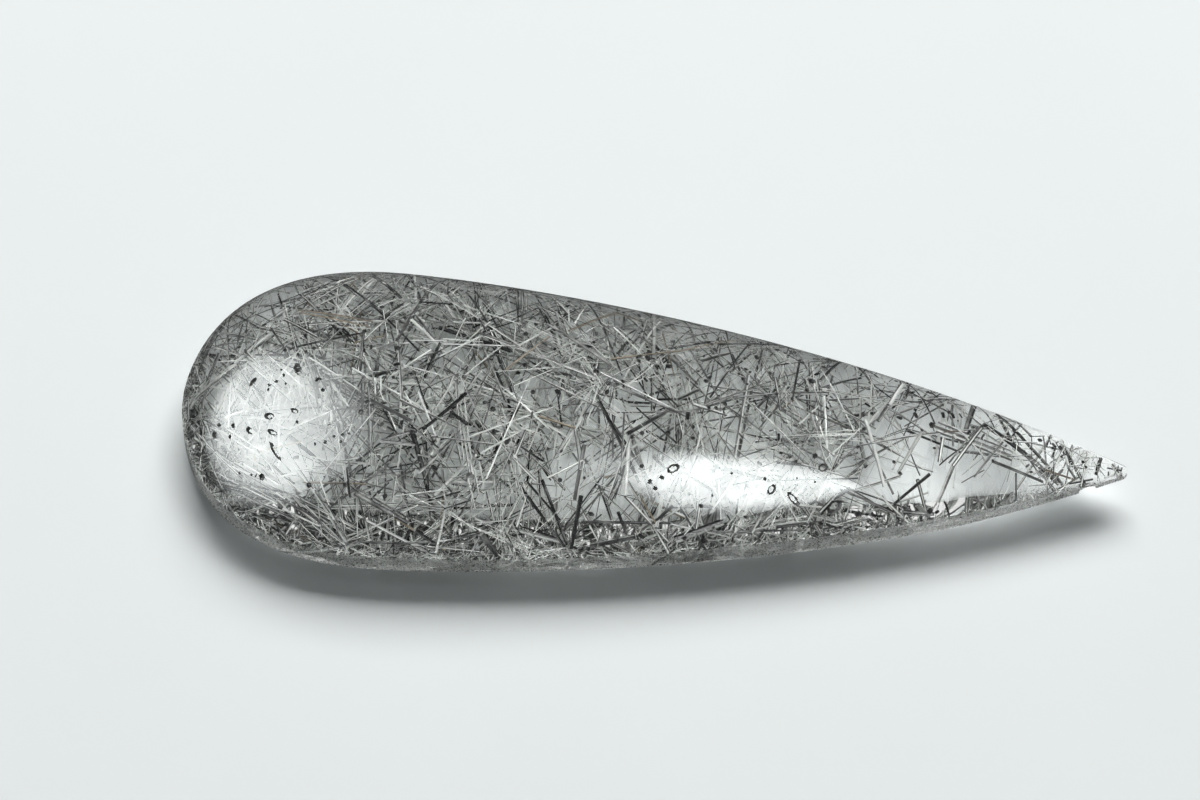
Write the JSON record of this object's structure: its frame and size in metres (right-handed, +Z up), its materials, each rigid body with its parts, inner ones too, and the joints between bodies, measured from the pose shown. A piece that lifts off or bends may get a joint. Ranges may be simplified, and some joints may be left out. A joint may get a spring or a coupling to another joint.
{
  "type": "included quartz drop",
  "caption": "Polished long drop of clear quartz with a domed face, a thin upright girdle and a low back ground flat, packed with dark needle crystals.",
  "frame": {"origin": "under the middle of the bounding box, on the surface the stone lies on", "axes": "+X along the stone from its round end to its tip, +Z up through the dome, +Y across"},
  "size_m": [0.06, 0.0208, 0.009],
  "materials": {
    "quartz": "clear polished quartz with fine pits",
    "dark_needles": "glossy dark tourmaline needles, enclosed in the quartz",
    "pale_needles": "silvery grey needles and needle channels, enclosed in the quartz",
    "brown_needles": "thin brown needles, enclosed in the quartz"
  },
  "bodies": {
    "root": {"quartz_drop": "quartz"}
  },
  "joints": []
}
